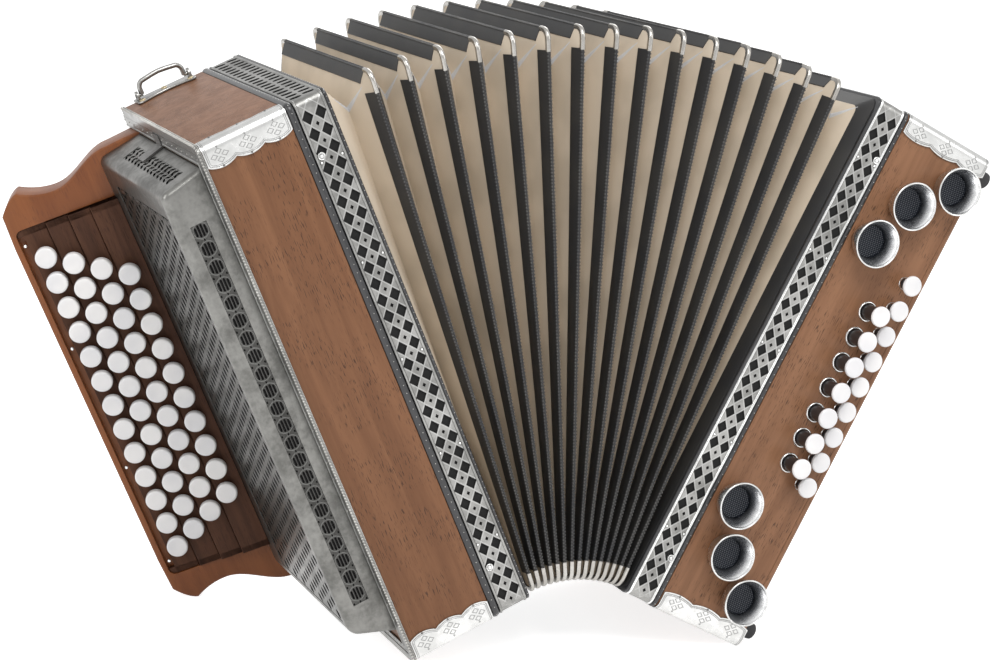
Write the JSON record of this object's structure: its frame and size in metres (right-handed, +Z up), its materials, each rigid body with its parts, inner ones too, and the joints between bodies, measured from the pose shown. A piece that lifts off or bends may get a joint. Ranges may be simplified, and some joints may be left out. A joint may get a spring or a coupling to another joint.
{
  "type": "diatonic button accordion",
  "caption": "Button accordion with treble rows on an inclined board, pierced hood, fanned bellows, and a bass side with flared horns, a hand strap and push buttons.",
  "frame": {"origin": "under the middle of the standing instrument, on the surface it stands on", "axes": "+Z up, +X from the treble side to the bass side, -Y the front that the horns face"},
  "size_m": [0.6572, 0.2396, 0.4322],
  "materials": {
    "walnut": "open-pored, satin",
    "cherry_board": "satin varnish",
    "dark_step_board": "satin varnish",
    "aged_silver": "aged",
    "bright_silver": "polished, worn",
    "silver_sheet": "aged",
    "pearl": "pearl",
    "black_frame": "black lacquer",
    "bellows_card": "cloth covered",
    "spruce": "bare",
    "rubber": "matt",
    "leather": "smooth"
  },
  "bodies": {
    "treble": {"treble_casing": "walnut", "treble_bellows_frame": "black_frame", "treble_band": "aged_silver", "hood": "silver_sheet", "hood_clip": "bright_silver", "keyboard_body": "cherry_board", "keyboard_steps": "dark_step_board", "strap_bracket_plate": "bright_silver", "treble_corner_plate_top": "bright_silver", "treble_corner_plate_bottom": "bright_silver", "treble_edge_trim": "aged_silver", "treble_sound_board": "spruce", "treble_reed_block_1": "spruce", "treble_reed_block_2": "spruce", "bellows_1": "bellows_card"},
    "bellows_a": {"bellows_2": "bellows_card"},
    "bellows_b": {"bellows_3": "bellows_card"},
    "bellows_c": {"bellows_4": "bellows_card"},
    "bass": {"bass_casing": "walnut", "bass_bellows_frame": "black_frame", "bass_band": "aged_silver", "bass_corner_plate_top": "bright_silver", "bass_corner_plate_bottom": "bright_silver", "bass_end_cover": "walnut", "bass_horn_1": "bright_silver", "bass_horn_2": "bright_silver", "bass_horn_3": "bright_silver", "bass_horn_4": "bright_silver", "bass_horn_5": "bright_silver", "bass_horn_6": "bright_silver", "rubber_foot_1": "rubber", "rubber_foot_2": "rubber", "rubber_foot_3": "rubber", "rubber_foot_4": "rubber", "hand_strap": "leather", "bass_sound_board": "spruce", "bass_reed_block": "spruce"},
    "row_1": {"treble_buttons_row_1": "pearl"},
    "row_2": {"treble_buttons_row_2": "pearl"},
    "row_3": {"treble_buttons_row_3": "pearl"},
    "row_4": {"treble_buttons_row_4": "pearl"},
    "bass_button_outer_1_body": {"bass_button_outer_1": "pearl"},
    "bass_button_outer_2_body": {"bass_button_outer_2": "pearl"},
    "bass_button_outer_3_body": {"bass_button_outer_3": "pearl"},
    "bass_button_outer_4_body": {"bass_button_outer_4": "pearl"},
    "bass_button_outer_5_body": {"bass_button_outer_5": "pearl"},
    "bass_button_outer_6_body": {"bass_button_outer_6": "pearl"},
    "bass_button_outer_7_body": {"bass_button_outer_7": "pearl"},
    "bass_button_outer_8_body": {"bass_button_outer_8": "pearl"},
    "bass_button_outer_9_body": {"bass_button_outer_9": "pearl"},
    "bass_button_inner_1_body": {"bass_button_inner_1": "pearl"},
    "bass_button_inner_2_body": {"bass_button_inner_2": "pearl"},
    "bass_button_inner_3_body": {"bass_button_inner_3": "pearl"},
    "bass_button_inner_4_body": {"bass_button_inner_4": "pearl"},
    "bass_button_inner_5_body": {"bass_button_inner_5": "pearl"},
    "bass_button_inner_6_body": {"bass_button_inner_6": "pearl"},
    "bass_button_inner_7_body": {"bass_button_inner_7": "pearl"},
    "air_button_body": {"air_button": "pearl"},
    "bail": {"strap_bail": "bright_silver"}
  },
  "joints": [
    {"name": "fan_1", "type": "hinge", "parent": "treble", "child": "bellows_a", "pos_m": [-0.00098, 0, 0.05229], "axis": [0, 1, 0], "range_deg": [-12.7, 6], "deforming": ["bellows_1", "bellows_2"]},
    {"name": "fan_2", "type": "hinge", "parent": "bellows_a", "child": "bellows_b", "pos_m": [0.01703, 0, 0.05591], "axis": [0, 1, 0], "range_deg": [-12.7, 6], "deforming": ["bellows_3"]},
    {"name": "fan_3", "type": "hinge", "parent": "bellows_b", "child": "bellows_c", "pos_m": [0.03539, 0, 0.05563], "axis": [0, 1, 0], "range_deg": [-12.7, 6], "deforming": ["bellows_4"]},
    {"name": "fan_4", "type": "hinge", "parent": "bellows_c", "child": "bass", "pos_m": [0.05328, 0, 0.05146], "axis": [0, 1, 0], "range_deg": [-12.7, 6]},
    {"name": "treble_row_1_press", "type": "slide", "parent": "treble", "child": "row_1", "axis": [0.3106, 0.9397, 0.1432], "range_m": [0, 0.0035], "stiffness_N_per_m": 300, "springref_m": -0.003},
    {"name": "treble_row_2_press", "type": "slide", "parent": "treble", "child": "row_2", "axis": [0.3106, 0.9397, 0.1432], "range_m": [0, 0.0035], "stiffness_N_per_m": 300, "springref_m": -0.003},
    {"name": "treble_row_3_press", "type": "slide", "parent": "treble", "child": "row_3", "axis": [0.3106, 0.9397, 0.1432], "range_m": [0, 0.0035], "stiffness_N_per_m": 300, "springref_m": -0.003},
    {"name": "treble_row_4_press", "type": "slide", "parent": "treble", "child": "row_4", "axis": [0.3106, 0.9397, 0.1432], "range_m": [0, 0.0035], "stiffness_N_per_m": 300, "springref_m": -0.003},
    {"name": "bass_button_outer_1_press", "type": "slide", "parent": "bass", "child": "bass_button_outer_1_body", "axis": [0, 1, 0], "range_m": [0, 0.0045], "stiffness_N_per_m": 200, "springref_m": -0.003},
    {"name": "bass_button_outer_2_press", "type": "slide", "parent": "bass", "child": "bass_button_outer_2_body", "axis": [0, 1, 0], "range_m": [0, 0.0045], "stiffness_N_per_m": 200, "springref_m": -0.003},
    {"name": "bass_button_outer_3_press", "type": "slide", "parent": "bass", "child": "bass_button_outer_3_body", "axis": [0, 1, 0], "range_m": [0, 0.0045], "stiffness_N_per_m": 200, "springref_m": -0.003},
    {"name": "bass_button_outer_4_press", "type": "slide", "parent": "bass", "child": "bass_button_outer_4_body", "axis": [0, 1, 0], "range_m": [0, 0.0045], "stiffness_N_per_m": 200, "springref_m": -0.003},
    {"name": "bass_button_outer_5_press", "type": "slide", "parent": "bass", "child": "bass_button_outer_5_body", "axis": [0, 1, 0], "range_m": [0, 0.0045], "stiffness_N_per_m": 200, "springref_m": -0.003},
    {"name": "bass_button_outer_6_press", "type": "slide", "parent": "bass", "child": "bass_button_outer_6_body", "axis": [0, 1, 0], "range_m": [0, 0.0045], "stiffness_N_per_m": 200, "springref_m": -0.003},
    {"name": "bass_button_outer_7_press", "type": "slide", "parent": "bass", "child": "bass_button_outer_7_body", "axis": [0, 1, 0], "range_m": [0, 0.0045], "stiffness_N_per_m": 200, "springref_m": -0.003},
    {"name": "bass_button_outer_8_press", "type": "slide", "parent": "bass", "child": "bass_button_outer_8_body", "axis": [0, 1, 0], "range_m": [0, 0.0045], "stiffness_N_per_m": 200, "springref_m": -0.003},
    {"name": "bass_button_outer_9_press", "type": "slide", "parent": "bass", "child": "bass_button_outer_9_body", "axis": [0, 1, 0], "range_m": [0, 0.0045], "stiffness_N_per_m": 200, "springref_m": -0.003},
    {"name": "bass_button_inner_1_press", "type": "slide", "parent": "bass", "child": "bass_button_inner_1_body", "axis": [0, 1, 0], "range_m": [0, 0.0045], "stiffness_N_per_m": 200, "springref_m": -0.003},
    {"name": "bass_button_inner_2_press", "type": "slide", "parent": "bass", "child": "bass_button_inner_2_body", "axis": [0, 1, 0], "range_m": [0, 0.0045], "stiffness_N_per_m": 200, "springref_m": -0.003},
    {"name": "bass_button_inner_3_press", "type": "slide", "parent": "bass", "child": "bass_button_inner_3_body", "axis": [0, 1, 0], "range_m": [0, 0.0045], "stiffness_N_per_m": 200, "springref_m": -0.003},
    {"name": "bass_button_inner_4_press", "type": "slide", "parent": "bass", "child": "bass_button_inner_4_body", "axis": [0, 1, 0], "range_m": [0, 0.0045], "stiffness_N_per_m": 200, "springref_m": -0.003},
    {"name": "bass_button_inner_5_press", "type": "slide", "parent": "bass", "child": "bass_button_inner_5_body", "axis": [0, 1, 0], "range_m": [0, 0.0045], "stiffness_N_per_m": 200, "springref_m": -0.003},
    {"name": "bass_button_inner_6_press", "type": "slide", "parent": "bass", "child": "bass_button_inner_6_body", "axis": [0, 1, 0], "range_m": [0, 0.0045], "stiffness_N_per_m": 200, "springref_m": -0.003},
    {"name": "bass_button_inner_7_press", "type": "slide", "parent": "bass", "child": "bass_button_inner_7_body", "axis": [0, 1, 0], "range_m": [0, 0.0045], "stiffness_N_per_m": 200, "springref_m": -0.003},
    {"name": "air_button_press", "type": "slide", "parent": "bass", "child": "air_button_body", "axis": [0, -1, 0], "range_m": [0, 0.0035], "stiffness_N_per_m": 250, "springref_m": -0.003},
    {"name": "bail_swing", "type": "hinge", "parent": "treble", "child": "bail", "pos_m": [-0.22274, 0.08174, 0.37227], "axis": [0.9082, 0, 0.4185], "range_deg": [-80, 80]}
  ],
  "couplings": [
    {"joint": "fan_2", "follows": "fan_1", "ratio": 1},
    {"joint": "fan_3", "follows": "fan_1", "ratio": 1},
    {"joint": "fan_4", "follows": "fan_1", "ratio": 1}
  ]
}
